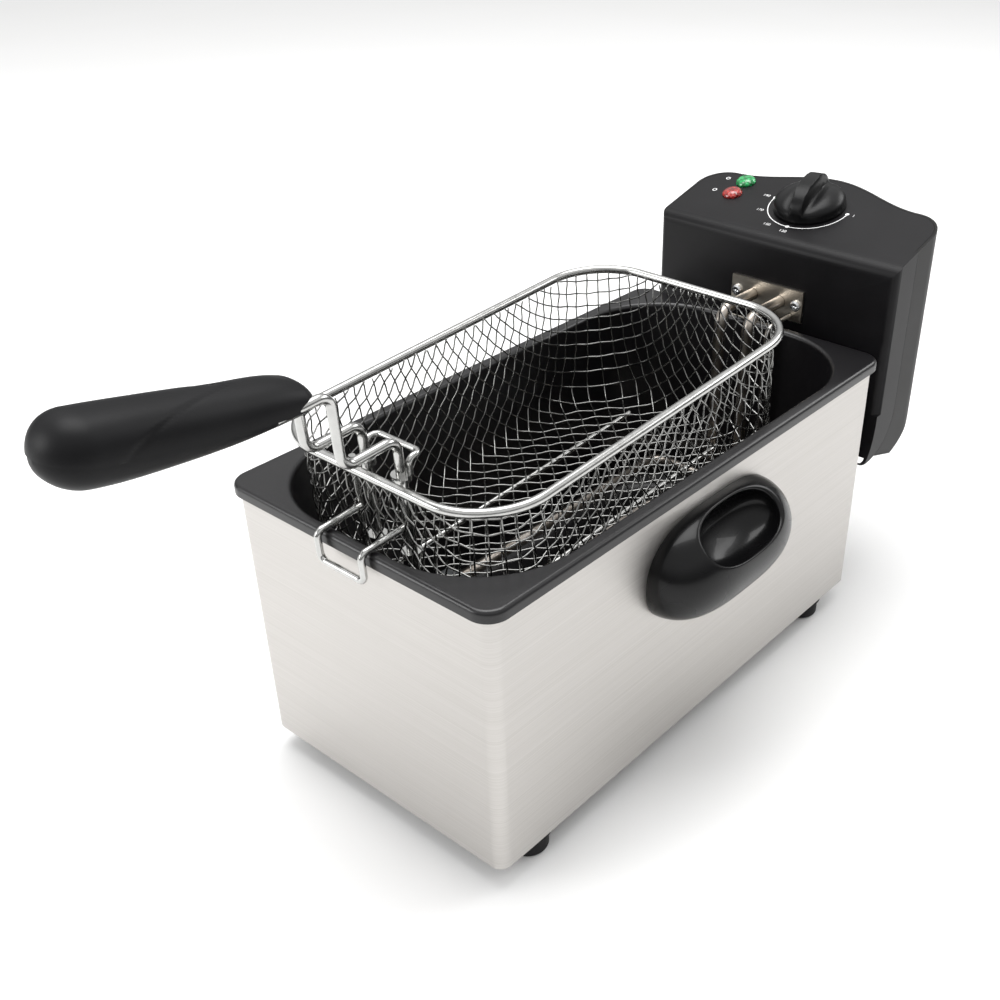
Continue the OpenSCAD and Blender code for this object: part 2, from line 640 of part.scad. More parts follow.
housing_shell();
base_plate();
foot_front_left();
foot_front_right();
foot_rear_left();
foot_rear_right();
foot_screws();
side_grip_left();
side_grip_right();
side_grip_screws();
hanger_channel();
hanger_rivets();
interlock_key();
oil_tank();
unit_front_shell();
unit_rear_shell();
unit_screws();
hanger_tongue();
element_plate();
element_plate_screws();
heating_element();
element_clip();
sensor_tube();
thermostat_body();
thermal_cutout();
terminal_block();
interlock_switch();
power_lamp_lens();
ready_lamp_lens();
lamp_holders();
wiring_harness();
cord_gland();
temperature_knob();
thermostat_shaft();
reset_button();
interlock_plunger();
basket_rim();
basket_mesh();
basket_hook();
basket_base_wires();
handle_bracket();
handle_wires();
handle_grip_upper();
handle_grip_lower();
handle_screws();
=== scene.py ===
from math import acos, atan2, cos, degrees, hypot, pi, radians, sin, sqrt, tan

import bmesh
import bpy
import numpy as np
from mathutils import Matrix, Vector


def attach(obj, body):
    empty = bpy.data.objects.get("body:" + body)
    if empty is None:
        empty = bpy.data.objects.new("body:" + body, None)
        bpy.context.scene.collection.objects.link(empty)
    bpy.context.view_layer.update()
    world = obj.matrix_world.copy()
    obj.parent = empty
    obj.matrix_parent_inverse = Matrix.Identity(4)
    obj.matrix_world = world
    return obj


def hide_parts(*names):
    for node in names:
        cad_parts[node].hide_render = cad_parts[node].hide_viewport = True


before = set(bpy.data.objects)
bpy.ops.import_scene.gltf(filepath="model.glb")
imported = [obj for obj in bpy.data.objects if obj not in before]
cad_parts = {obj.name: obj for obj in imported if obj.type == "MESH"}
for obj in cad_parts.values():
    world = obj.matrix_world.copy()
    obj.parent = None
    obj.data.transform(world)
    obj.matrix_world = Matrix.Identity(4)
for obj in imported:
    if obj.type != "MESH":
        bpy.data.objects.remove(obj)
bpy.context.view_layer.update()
MM = 0.001

# ---- Camera, floor and light ----
# The fryer stands on a plain pale table in a white studio. Large soft lights stand over it
# and to its left, and the white walls all round give the steel and chrome their brightness.


def srgb(hex_code):
    """Linear RGBA of an sRGB hex colour."""
    parts = [int(hex_code[i : i + 2], 16) / 255 for i in (1, 3, 5)]
    return [p / 12.92 if p <= 0.04045 else ((p + 0.055) / 1.055) ** 2.4 for p in parts] + [1]


def add_node(tree, kind, inputs=None, **settings):
    """Adds a node, sets its own settings, and sets or links its inputs."""
    made = tree.nodes.new(kind)
    for name, value in settings.items():
        setattr(made, name, value)
    for name, value in (inputs or {}).items():
        if isinstance(value, bpy.types.NodeSocket):
            tree.links.new(value, made.inputs[name])
        else:
            made.inputs[name].default_value = value
    return made


def new_material(name):
    """An empty node material and its tree."""
    made = bpy.data.materials.new(name)
    made.use_nodes = True
    made.node_tree.nodes.clear()
    return made, made.node_tree


def finish_material(tree, inputs, bump=None):
    """Ends a material in one Principled shader, with a bump of (height, depth in metres)."""
    inputs = dict(inputs)
    if bump is not None:
        height, depth = bump
        inputs["Normal"] = add_node(tree, "ShaderNodeBump",
                                    {"Height": height, "Distance": depth}).outputs["Normal"]
    shader = add_node(tree, "ShaderNodeBsdfPrincipled", inputs)
    add_node(tree, "ShaderNodeOutputMaterial", {"Surface": shader.outputs["BSDF"]})


def blank_shape(name, verts, faces, smooth=True):
    """A mesh object made from lists of points and faces, in metres."""
    mesh = bpy.data.meshes.new(name)
    mesh.from_pydata([tuple(v) for v in verts], [], [tuple(f) for f in faces])
    mesh.validate()
    mesh.update()
    mesh.polygons.foreach_set("use_smooth", [smooth] * len(mesh.polygons))
    made = bpy.data.objects.new(name, mesh)
    bpy.context.scene.collection.objects.link(made)
    return made


def floor_paint():
    """Matt white table: even, with a faint mottle."""
    made, tree = new_material("matt_white_table")
    place = add_node(tree, "ShaderNodeTexCoord")
    mottle = add_node(tree, "ShaderNodeTexNoise", {"Vector": place.outputs["Object"], "Scale": 3.0})
    ramp = add_node(tree, "ShaderNodeValToRGB", {"Fac": mottle.outputs["Fac"]})
    ramp.color_ramp.elements[0].color = srgb("#F4F4F3")
    ramp.color_ramp.elements[1].color = srgb("#F8F8F8")
    finish_material(tree, {"Base Color": ramp.outputs["Color"], "Roughness": 0.75,
                           "Specular IOR Level": 0.2})
    return made


TABLE_HALF = 6
corners = [(-TABLE_HALF, -TABLE_HALF, 0), (TABLE_HALF, -TABLE_HALF, 0),
           (TABLE_HALF, TABLE_HALF, 0), (-TABLE_HALF, TABLE_HALF, 0)]
table = blank_shape("table", corners, [(0, 1, 2, 3)], False)
table.data.materials.append(floor_paint())

# White walls, greyer towards the floor, so that upright steel is less bright than the table.
world = bpy.data.worlds.new("studio")
bpy.context.scene.world = world
world.use_nodes = True
backdrop = world.node_tree.nodes["Background"]
heading = add_node(world.node_tree, "ShaderNodeTexCoord")
height = add_node(world.node_tree, "ShaderNodeSeparateXYZ", {
    "Vector": heading.outputs["Generated"]})
walls = add_node(world.node_tree, "ShaderNodeValToRGB", {"Fac": height.outputs["Z"]})
walls.color_ramp.elements[0].position = 0.12
walls.color_ramp.elements[0].color = srgb("#6A6A6A")
walls.color_ramp.elements[1].position = 0.55
walls.color_ramp.elements[1].color = srgb("#F4F4F4")
world.node_tree.links.new(walls.outputs["Color"], backdrop.inputs["Color"])
backdrop.inputs["Strength"].default_value = 0.95
bpy.context.scene.view_settings.view_transform = "Standard"


def softbox(name, place, aim, size, power):
    """A rectangular area light at a place, turned to a point."""
    light = bpy.data.lights.new(name, "AREA")
    light.shape = "RECTANGLE"
    light.size, light.size_y = size
    light.energy = power
    made = bpy.data.objects.new(name, light)
    made.location = place
    made.rotation_euler = (Vector(aim) - Vector(place)).to_track_quat("-Z", "Y").to_euler()
    bpy.context.scene.collection.objects.link(made)


softbox("top_light", (-0.3, 0.2, 1.9), (0, 0, 0.15), (1.6, 1.2), 30)
softbox("left_light", (-1.3, -1.9, 1.0), (0, 0, 0.15), (1.2, 1.0), 20)
softbox("back_light", (0.6, 1.6, 1.2), (0, 0.1, 0.2), (1.2, 0.5), 8)

camera = bpy.data.objects.new("camera", bpy.data.cameras.new("camera"))
bpy.context.scene.collection.objects.link(camera)
camera.location = (0.3958, -0.4765, 0.4944)
camera.rotation_euler = (radians(90 - 33.264), 0, radians(39.883))
camera.data.lens = 44.19
camera.data.sensor_width = 36
camera.data.shift_x = -0.0806
camera.data.shift_y = 0.0475
bpy.context.scene.camera = camera

# ---- Steel housing ----
# The housing is one sleeve of 1 mm stainless sheet, brushed along its length before it was
# folded and closed at the back. Its lower edge is hemmed in to carry the moulded floor.


def eased(node_name, width, paint, slot, body, split=28, segments=2):
    """A CAD node's shape again, welded into one skin, with its sharp edges broken."""
    shape = bmesh.new()
    shape.from_mesh(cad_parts[node_name].data)
    bmesh.ops.remove_doubles(shape, verts=shape.verts, dist=3e-6)
    bmesh.ops.dissolve_limit(shape, angle_limit=radians(0.4), verts=shape.verts, edges=shape.edges)
    made = blank_shape(node_name + "_finished", [], [])
    shape.to_mesh(made.data)
    shape.free()
    made.data.materials.clear()
    made.data.polygons.foreach_set("use_smooth", [True] * len(made.data.polygons))
    made.data.set_sharp_from_angle(angle=radians(split))
    if width:
        soft = made.modifiers.new("broken_edges", "BEVEL")
        soft.width = width
        soft.segments = segments
        soft.limit_method = "ANGLE"
        soft.angle_limit = radians(split)
        soft.harden_normals = True
        soft.use_clamp_overlap = True
    return place_piece(made, paint, slot, body, node_name)


def place_piece(piece, paint, slot, body, *nodes):
    """Gives a piece its material and its body, and hides the CAD nodes it stands for; the slot
    argument is not used.
    """
    piece.data.materials.append(paint)
    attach(piece, body)
    if nodes:
        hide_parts(*nodes)
    return piece


def finish_node(paint, *names):
    """Gives carried-over CAD nodes a material."""
    for name in names:
        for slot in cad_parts[name].material_slots:
            slot.material = paint


def brushed_steel(name, light, dark, roughness, grain=(0.2, 0.2, 0.00045), depth=0.000006):
    """Brushed stainless steel: grain gives the size of a brush mark along each axis, metres."""
    made, tree = new_material(name)
    place = add_node(tree, "ShaderNodeTexCoord")
    along = add_node(tree, "ShaderNodeMapping", {
        "Vector": place.outputs["Object"], "Scale": [1 / g for g in grain]})
    marks = add_node(tree, "ShaderNodeTexNoise", {
        "Vector": along.outputs["Vector"], "Scale": 1.0, "Detail": 3.0, "Roughness": 0.6})
    tone = add_node(tree, "ShaderNodeValToRGB", {"Fac": marks.outputs["Fac"]})
    tone.color_ramp.elements[0].position = 0.3
    tone.color_ramp.elements[0].color = srgb(dark)
    tone.color_ramp.elements[1].position = 0.7
    tone.color_ramp.elements[1].color = srgb(light)
    gloss = add_node(tree, "ShaderNodeMapRange", {
        "Value": marks.outputs["Fac"], "To Min": roughness - 0.05, "To Max": roughness + 0.05})
    finish_material(tree, {"Base Color": tone.outputs["Color"], "Metallic": 1.0,
                           "Roughness": gloss.outputs["Result"]}, (marks.outputs["Fac"], depth))
    return made


# Fine horizontal brushing spreads the reflections, so that each wall looks evenly pale.
finish_node(brushed_steel("brushed_stainless_sheet", "#CCC9C6", "#C0BDB9", 0.42), "housing_shell")


def moulded_plastic(name, colour, second, roughness, grain=0.0006, depth=0.00002, coat=0.0):
    """Moulded plastic: grain is the size of the mould's spark texture, in metres.

    Its low specular level keeps black parts deep between white walls.
    """
    made, tree = new_material(name)
    place = add_node(tree, "ShaderNodeTexCoord")
    spark = add_node(tree, "ShaderNodeTexNoise", {
        "Vector": place.outputs["Object"], "Scale": 1 / grain, "Detail": 2.0})
    flow = add_node(tree, "ShaderNodeTexNoise", {
        "Vector": place.outputs["Object"], "Scale": 28.0, "Detail": 3.0})
    tone = add_node(tree, "ShaderNodeValToRGB", {"Fac": flow.outputs["Fac"]})
    tone.color_ramp.elements[0].position = 0.35
    tone.color_ramp.elements[0].color = srgb(colour)
    tone.color_ramp.elements[1].position = 0.7
    tone.color_ramp.elements[1].color = srgb(second)
    gloss = add_node(tree, "ShaderNodeMapRange", {
        "Value": flow.outputs["Fac"], "To Min": roughness - 0.04, "To Max": roughness + 0.05})
    finish_material(tree, {"Base Color": tone.outputs["Color"], "IOR": 1.5, "Coat Weight": coat,
                           "Specular IOR Level": 0.2, "Roughness": gloss.outputs["Result"]},
                    (spark.outputs["Fac"], depth))
    return made


finish_node(moulded_plastic("base_polypropylene", "#1B1B1C", "#212122", 0.5), "base_plate",
            "interlock_key")

# ---- Feet ----
# Four turned-looking feet of black rubber, each with a collar against the housing, held by
# one plated screw from below.

foot_rubber = moulded_plastic("foot_rubber", "#19191A", "#202021", 0.62, 0.0008, 0.00003)
for corner in ("front_left", "front_right", "rear_left", "rear_right"):
    eased("foot_" + corner, 0.5 * MM, foot_rubber, "foot_rubber", "housing")


def plated_steel(name, colour, second, roughness, grain=0.004):
    """Zinc or nickel plate: bright, with a slightly uneven bloom."""
    made, tree = new_material(name)
    place = add_node(tree, "ShaderNodeTexCoord")
    bloom = add_node(tree, "ShaderNodeTexNoise", {
        "Vector": place.outputs["Object"], "Scale": 1 / grain, "Detail": 4.0})
    tone = add_node(tree, "ShaderNodeValToRGB", {"Fac": bloom.outputs["Fac"]})
    tone.color_ramp.elements[0].color = srgb(colour)
    tone.color_ramp.elements[1].color = srgb(second)
    gloss = add_node(tree, "ShaderNodeMapRange", {
        "Value": bloom.outputs["Fac"], "To Min": roughness - 0.05, "To Max": roughness + 0.07})
    finish_material(tree, {"Base Color": tone.outputs["Color"], "Metallic": 1.0,
                           "Roughness": gloss.outputs["Result"]}, (bloom.outputs["Fac"], 0.00001))
    return made


screw_zinc = plated_steel("bright_zinc_screws", "#C9CACB", "#DADBDC", 0.25)
finish_node(screw_zinc, "foot_screws", "side_grip_screws", "hanger_rivets", "unit_screws",
            "element_plate_screws", "handle_screws", "thermostat_shaft")

# ---- Side grips ----
# A hollow dome of glossy black phenolic on each side wall, with an oval finger pocket that
# faces up and outwards. The lip of the pocket is rounded all the way round.

grip_plastic = moulded_plastic("glossy_black_phenolic", "#09090A", "#0E0E0F", 0.26, 0.0009,
                               0.000008, 0.15)
GRIP_WALL = 90 * MM
GRIP_HEIGHT = 128.4 * MM
GRIP_BULGE = 31 * MM
GRIP_HALF = 58 * MM
POCKET_HALF = (32.5 * MM, 17.5 * MM)
POCKET_DEPTH = 21 * MM
POCKET_LIP = 3.2 * MM
POCKET_TILT = radians(45)
MOUTH, LIP_END = 0.93, 1.06  # where the lip starts and ends, as shares of the pocket
DOME_RINGS = 30


def dome_reach(direction):
    """Distance from the middle of a grip's foot to its dome along a direction."""
    low, high = 0.0, 0.2
    for _ in range(40):
        middle = (low + high) / 2
        along = abs(direction.y * middle) / GRIP_HALF
        across = hypot(direction.x * middle, direction.z * middle) / GRIP_BULGE
        if along**3.2 + across**2.2 < 1:
            low = middle
        else:
            high = middle
    return low


def side_grip_shape(side, name):
    """Rings round the pocket's axis: its floor, its wall, the lip, and the dome to the wall."""
    steps, verts, rings = 120, [], 0
    axis = Vector((cos(POCKET_TILT), 0, sin(POCKET_TILT)))
    upward = Vector((-sin(POCKET_TILT), 0, cos(POCKET_TILT)))
    sideways = Vector((0, 1, 0))

    def rim_point(turn, spread):
        aim_y = POCKET_HALF[0] * spread * abs(cos(turn)) ** 0.8 * (1 if cos(turn) > 0 else -1)
        aim_z = POCKET_HALF[1] * spread * abs(sin(turn)) ** 0.8 * (1 if sin(turn) > 0 else -1)
        toward = (axis * GRIP_BULGE * 0.86 + sideways * aim_y + upward * aim_z).normalized()
        return toward * dome_reach(toward), toward

    deep = axis * (GRIP_BULGE - POCKET_DEPTH)
    for share in [0.02] + [0.1 * k for k in range(1, 10)] + [0.94, 0.97]:
        bend = share * pi / 2
        for k in range(steps):
            edge, _ = rim_point(2 * pi * k / steps, MOUTH)
            level = edge - axis * (edge.dot(axis))
            height = (edge.dot(axis) - POCKET_LIP * 0.8) - deep.length
            verts.append(level * sin(bend) ** 0.62 + deep + axis * height * (1 - cos(bend)) ** 0.95)
        rings += 1
    for share in [0.0, 0.2, 0.4, 0.6, 0.8, 1.0]:
        bend = share * pi / 2
        for k in range(steps):
            turn = 2 * pi * k / steps
            edge, _ = rim_point(turn, MOUTH + (LIP_END - MOUTH) * (1 - cos(bend)))
            verts.append(edge - axis * POCKET_LIP * 0.8 * (1 - sin(bend)))
        rings += 1
    for step in range(1, DOME_RINGS + 1):
        share = step / DOME_RINGS
        for k in range(steps):
            turn = 2 * pi * k / steps
            _, start = rim_point(turn, LIP_END)
            swing = atan2(start.dot(upward), start.dot(sideways))
            first = acos(min(1, start.dot(axis)))
            last = atan2(1, sin(swing))
            bend = first + (last - first) * share
            toward = axis * cos(bend) + (sideways * cos(swing) + upward * sin(swing)) * sin(bend)
            verts.append(toward * dome_reach(toward))
        rings += 1
    faces = [list(range(steps))[::-1]]
    for ring in range(rings - 1):
        for k in range(steps):
            a, b = ring * steps + k, ring * steps + (k + 1) % steps
            faces.append((a, b, b + steps, a + steps))
    faces.append(list(range((rings - 1) * steps, rings * steps)))
    placed = [(side * (GRIP_WALL + max(v.x, 0)), v.y, GRIP_HEIGHT + v.z) for v in verts]
    if side < 0:
        faces = [list(f)[::-1] for f in faces]
    return blank_shape(name, placed, faces)


for side, word in ((-1, "left"), (1, "right")):
    place_piece(side_grip_shape(side, "grip_dome_" + word), grip_plastic, "grip_plastic",
                "housing", "side_grip_" + word)

# ---- Channel and tongue ----
# The control unit hangs on the housing by a tongue that drops into a channel of galvanised
# sheet riveted to the back wall.

galvanised = plated_steel("galvanised_sheet", "#8F9294", "#A6A9AB", 0.38, 0.006)
finish_node(galvanised, "hanger_channel", "element_clip")

# ---- Oil tank ----
# The tank is pressed from steel and fired with black enamel. Its wide corners lie flat on
# the housing, its mouth has a raised bead, and its outer edge is turned down as a skirt.


def fired_enamel():
    """Black enamel: glassy, with a faint orange peel and tiny paler specks."""
    made, tree = new_material("black_fired_enamel")
    place = add_node(tree, "ShaderNodeTexCoord")
    peel = add_node(tree, "ShaderNodeTexNoise", {
        "Vector": place.outputs["Object"], "Scale": 260.0, "Detail": 2.0})
    specks = add_node(tree, "ShaderNodeTexVoronoi", {
        "Vector": place.outputs["Object"], "Scale": 900.0})
    tone = add_node(tree, "ShaderNodeValToRGB", {"Fac": specks.outputs["Distance"]})
    tone.color_ramp.elements[0].position = 0.08
    tone.color_ramp.elements[0].color = srgb("#2A292B")
    tone.color_ramp.elements[1].position = 0.2
    tone.color_ramp.elements[1].color = srgb("#121113")
    finish_material(tree, {"Base Color": tone.outputs["Color"], "Roughness": 0.3, "IOR": 1.52},
                    (peel.outputs["Fac"], 0.00004))
    return made


eased("oil_tank", 0, fired_enamel(), "tank_enamel", "tank", 32)

# ---- Control unit casing ----
# Two halves moulded in black plastic with a fine spark texture: the front half holds the
# front wall, its round lip and the whole panel, and the rear half closes the back.

casing = moulded_plastic("casing_moulded_black", "#0E0D0F", "#141315", 0.4, 0.0007, 0.00003)
rear_casing = moulded_plastic("rear_casing_moulded_black", "#121112", "#181716", 0.44, 0.0007,
                              0.00003)
eased("unit_front_shell", 0.5 * MM, casing, "casing_plastic", "control_unit", 24)
eased("unit_rear_shell", 0.5 * MM, rear_casing, "casing_plastic_rear", "control_unit", 24)
finish_node(casing, "hanger_tongue")
finish_node(moulded_plastic("gland_rubber", "#151516", "#1B1B1C", 0.6), "cord_gland")

# ---- Element and sensor ----
# The heating element is a steel-sheathed tube, browned by heat, that comes through a small
# brushed plate in the unit's front wall. A thin capillary runs beside it to its bulb.

plate_steel = brushed_steel("brushed_plate", "#EFE8DB", "#DDD4C6", 0.3, (0.06, 0.06, 0.0003))
finish_node(plate_steel, "element_plate")


def element_tube():
    """Annealed steel sheath: brownish grey with darker heat bands."""
    made, tree = new_material("annealed_element_sheath")
    place = add_node(tree, "ShaderNodeTexCoord")
    heat = add_node(tree, "ShaderNodeTexNoise", {
        "Vector": place.outputs["Object"], "Scale": 55.0, "Detail": 4.0})
    tone = add_node(tree, "ShaderNodeValToRGB", {"Fac": heat.outputs["Fac"]})
    tone.color_ramp.elements[0].position = 0.35
    tone.color_ramp.elements[0].color = srgb("#A39A90")
    tone.color_ramp.elements[1].position = 0.65
    tone.color_ramp.elements[1].color = srgb("#CFC8C0")
    gloss = add_node(tree, "ShaderNodeMapRange", {
        "Value": heat.outputs["Fac"], "To Min": 0.22, "To Max": 0.4})
    finish_material(tree, {"Base Color": tone.outputs["Color"], "Metallic": 1.0,
                           "Roughness": gloss.outputs["Result"]}, (heat.outputs["Fac"], 0.00003))
    return made


finish_node(element_tube(), "heating_element")
finish_node(plated_steel("drawn_capillary", "#B9B5AE", "#CFCBC4", 0.28), "sensor_tube")

# ---- Parts inside the unit ----
# Thermostat, thermal cut-out, terminal block, safety switch and leads, which show only when
# the casing is open or from below.

finish_node(moulded_plastic("brown_phenolic", "#4A3B30", "#57473A", 0.5), "thermostat_body",
            "thermal_cutout", "interlock_switch")
finish_node(moulded_plastic("white_steatite", "#DAD6CB", "#E6E2D8", 0.55), "terminal_block",
            "lamp_holders")
finish_node(moulded_plastic("silicone_leads", "#A63A26", "#B8432C", 0.45), "wiring_harness")
finish_node(moulded_plastic("natural_nylon", "#DEDBD2", "#E9E6DE", 0.45), "interlock_plunger")
finish_node(moulded_plastic("red_button_plastic", "#9E201B", "#AD2620", 0.3), "reset_button")

# ---- Knob ----
# A moulded knob with a tall finger bar. The bar stands between two shallow lobes, and the
# lobes are scooped out beside it for the fingers.

TILT = radians(14)
PANEL_Y, PANEL_Z, DIAL_Y = 184.5 * MM, 227.4 * MM, 232 * MM


def on_panel(x, y, z):
    """A point of the control panel's own frame: x across, y up the slope, z out of it."""
    dial_z = PANEL_Z + tan(TILT) * (DIAL_Y - PANEL_Y)
    return Vector((x, DIAL_Y + y * cos(TILT) - z * sin(TILT),
                   dial_z + y * sin(TILT) + z * cos(TILT)))


KNOB_R = 23.3 * MM
KNOB_TURN = radians(8)


def knob_height(x, y):
    """Height of the knob's top over the panel at a place of its own frame."""
    reach = min(1.0, hypot(x, y) / KNOB_R)
    lobe = 4.2 + 8.0 * sqrt(max(0.0, 1 - reach**2.4))
    scoop = 1.6 * np.exp(-(((abs(x) / MM - 7.2) / 3.6) ** 2)) * (1 - reach**4)
    bar = 4.2 + 15.4 * sqrt(max(0.0, 1 - (abs(y) / KNOB_R) ** 2.3))
    half = (5.2 - 1.0 * (abs(y) / KNOB_R) ** 2) * MM
    rise = min(1.0, max(0.0, (half - abs(x)) / (1.3 * MM) + 0.5))
    rise = rise * rise * (3 - 2 * rise)
    low = lobe - scoop
    return (low + (max(bar, low) - low) * rise) * MM


def weld_skin(made, split):
    """Joins a shape's doubled points, turns its faces outwards and keeps its sharp edges."""
    shape = bmesh.new()
    shape.from_mesh(made.data)
    bmesh.ops.remove_doubles(shape, verts=shape.verts, dist=1e-6)
    bmesh.ops.recalc_face_normals(shape, faces=shape.faces)
    shape.to_mesh(made.data)
    shape.free()
    made.data.set_sharp_from_angle(angle=radians(split))
    return made


def knob_shape():
    """Lines along the bar, closest at its sides, then the round skirt."""
    half_lines = [0, 1.6, 3.0, 3.9, 4.3, 4.7, 5.1, 5.5, 5.9, 6.4, 7.2, 8.4, 10, 12, 14, 16, 18,
                  19.6, 20.9, 21.9, 22.6, 23.0, 23.2]
    lines = [-v * MM for v in half_lines[:0:-1]] + [v * MM for v in half_lines]
    across, verts, faces = 56, [], []
    for x in lines:
        reach = sqrt(max(0, KNOB_R**2 - x**2))
        for k in range(across + 1):
            y = reach * sin(pi * (k / across - 0.5))
            verts.append((x, y, knob_height(x, y)))
    count = across + 1
    for i in range(len(lines) - 1):
        for k in range(across):
            a = i * count + k
            faces.append((a, a + count, a + count + 1, a + 1))
    edge = [i * count for i in range(len(lines))]
    edge += [(len(lines) - 1) * count + k for k in range(1, count)]
    edge += [i * count + across for i in range(len(lines) - 2, -1, -1)]
    edge += range(across - 1, 0, -1)
    ring = edge
    for drop, out in ((3.4, 0.15), (2.4, 0.3), (0.7, 0.3)):
        start = len(verts)
        skirt = KNOB_R + out * MM
        for index in ring:
            x, y, _ = verts[index]
            size = hypot(x, y) or 1
            verts.append((x / size * skirt, y / size * skirt, drop * MM))
        lower = list(range(start, len(verts)))
        for k in range(len(ring)):
            n = (k + 1) % len(ring)
            faces.append((ring[k], lower[k], lower[n], ring[n]))
        ring = lower
    faces.append(ring)
    placed = [on_panel(x * cos(KNOB_TURN) - y * sin(KNOB_TURN),
                       x * sin(KNOB_TURN) + y * cos(KNOB_TURN), z) for x, y, z in verts]
    return weld_skin(blank_shape("knob_moulding", placed, faces), 50)


knob_black = moulded_plastic("knob_moulded_black", "#0A0A0B", "#0F0F10", 0.3, 0.0009, 0.00001)
place_piece(knob_shape(), knob_black, "knob_plastic", "knob", "temperature_knob")

# ---- Dial marks ----
# The scale is pad-printed in white on the panel: an arc round the knob with dots at its
# ends and at the lowest setting, and the temperatures outside it.


def printing_ink():
    """White pad-printing ink: matt, a little thin in places."""
    made, tree = new_material("white_printing_ink")
    place = add_node(tree, "ShaderNodeTexCoord")
    thin = add_node(tree, "ShaderNodeTexNoise", {
        "Vector": place.outputs["Object"], "Scale": 900.0, "Detail": 2.0})
    tone = add_node(tree, "ShaderNodeValToRGB", {"Fac": thin.outputs["Fac"]})
    tone.color_ramp.elements[0].position = 0.25
    tone.color_ramp.elements[0].color = srgb("#BDBDBD")
    tone.color_ramp.elements[1].position = 0.5
    tone.color_ramp.elements[1].color = srgb("#F4F4F4")
    finish_material(tree, {"Base Color": tone.outputs["Color"], "Roughness": 0.5})
    return made


INK_RISE = 0.06 * MM
ARC_R = 27.4 * MM
ARC_HALF_LINE = 0.32 * MM
LAMP_X = -57 * MM
RING_X = -71.5
NUMERAL_SIZE = 3.6
ink = printing_ink()


def flat_marks():
    """The arc, its three dots and a ring beside each lamp, as faces on the panel."""
    verts, faces = [], []
    first, last, steps = radians(2), radians(-182), 72
    for k in range(steps + 1):
        a = first + (last - first) * k / steps
        for r in (ARC_R - ARC_HALF_LINE, ARC_R + ARC_HALF_LINE):
            verts.append(on_panel(r * cos(a), r * sin(a), INK_RISE))
        if k:
            n = len(verts)
            faces.append((n - 4, n - 3, n - 1, n - 2))
    for a, size in ((2, 1.35), (270, 1.35), (178, 1.2)):
        start = len(verts)
        for k in range(20):
            b = 2 * pi * k / 20
            verts.append(on_panel(ARC_R * cos(radians(a)) + size * MM * cos(b),
                                  ARC_R * sin(radians(a)) + size * MM * sin(b), INK_RISE * 1.5))
        faces.append(range(start, start + 20))
    for x, y, size in ((RING_X, 10.8, 1.6), (RING_X, -5.8, 1.6)):
        start = len(verts)
        for k in range(24):
            b = 2 * pi * k / 24
            for r in (size * MM, size * 0.66 * MM):
                verts.append(on_panel(x * MM + r * cos(b), y * MM + r * sin(b), INK_RISE))
        for k in range(24):
            a, b = start + 2 * k, start + 2 * ((k + 1) % 24)
            faces.append((a, a + 1, b + 1, b))
    return blank_shape("dial_arc", verts, faces, False)


place_piece(flat_marks(), ink, "casing_plastic", "control_unit")


def numeral(word, angle, radius, size):
    """One printed number, upright on the panel, as a mesh."""
    text = bpy.data.curves.new("numeral_" + word, "FONT")
    text.body = word
    text.size = size * MM
    text.align_x = "CENTER"
    text.align_y = "CENTER"
    source = bpy.data.objects.new("text", text)
    mesh = bpy.data.meshes.new_from_object(source)
    bpy.data.objects.remove(source)
    x0, y0 = radius * MM * cos(radians(angle)), radius * MM * sin(radians(angle))
    for vertex in mesh.vertices:
        vertex.co = on_panel(x0 + vertex.co.x, y0 + vertex.co.y, INK_RISE)
    made = bpy.data.objects.new("numeral_" + word, mesh)
    bpy.context.scene.collection.objects.link(made)
    made.data.materials.clear()
    return place_piece(made, ink, "casing_plastic", "control_unit")


for word, angle, radius in (("130", 270, 33), ("150", 245, 33), ("170", 210, 32.5),
                            ("190", 178, 34), ("I", 1.5, 32), ("0", 103, 31)):
    numeral(word, angle, radius, NUMERAL_SIZE)

# ---- Lamps ----
# Two round lenses of clear coloured polystyrene with a cut-glass pattern inside, pressed
# into the panel. The green one shows that the oil is hot, the red one that power is on.


def lens_with_painted_glints(name, colour, deep):
    """Clear coloured lens with painted glints: its colour is light in the middle of each cell and
    deepest at the cell's border, as painted shade, in place of the sparkle of a cut-glass pattern.
    """
    made, tree = new_material(name)
    place = add_node(tree, "ShaderNodeTexCoord")
    cells = add_node(tree, "ShaderNodeTexVoronoi", {
        "Vector": place.outputs["Object"], "Scale": 420.0})
    # Painted glints and painted shade: the light colour in the middle of each cell, the deep colour
    # at its border.
    tone = add_node(tree, "ShaderNodeValToRGB", {"Fac": cells.outputs["Distance"]})
    tone.color_ramp.elements[0].position = 0.1
    tone.color_ramp.elements[0].color = srgb(colour)
    tone.color_ramp.elements[1].position = 0.7
    tone.color_ramp.elements[1].color = srgb(deep)
    finish_material(tree, {"Base Color": tone.outputs["Color"], "Roughness": 0.08, "IOR": 1.59,
                           "Coat Weight": 0.4}, (cells.outputs["Distance"], 0.00006))
    return made


def lens_shape(name, y):
    """A faceted dome: flats in rings round a small flat crown."""
    verts, faces, count = [], [], 14
    rings = [(6.8, 0.0), (6.8, 0.9), (6.2, 1.9), (4.9, 2.8), (2.9, 3.3), (1.2, 3.45)]
    for level, (r, z) in enumerate(rings):
        for k in range(count):
            a = 2 * pi * (k + 0.5 * (level % 2)) / count
            verts.append(on_panel(LAMP_X + r * MM * cos(a), y + r * MM * sin(a), z * MM))
    for level in range(len(rings) - 1):
        for k in range(count):
            a, b = level * count + k, level * count + (k + 1) % count
            if level % 2 == 0:
                faces += [(a, b, a + count), (b, b + count, a + count)]
            else:
                faces += [(a, b + count, a + count), (a, b, b + count)]
    faces.append(range((len(rings) - 1) * count, len(rings) * count))
    return blank_shape(name, verts, faces, False)
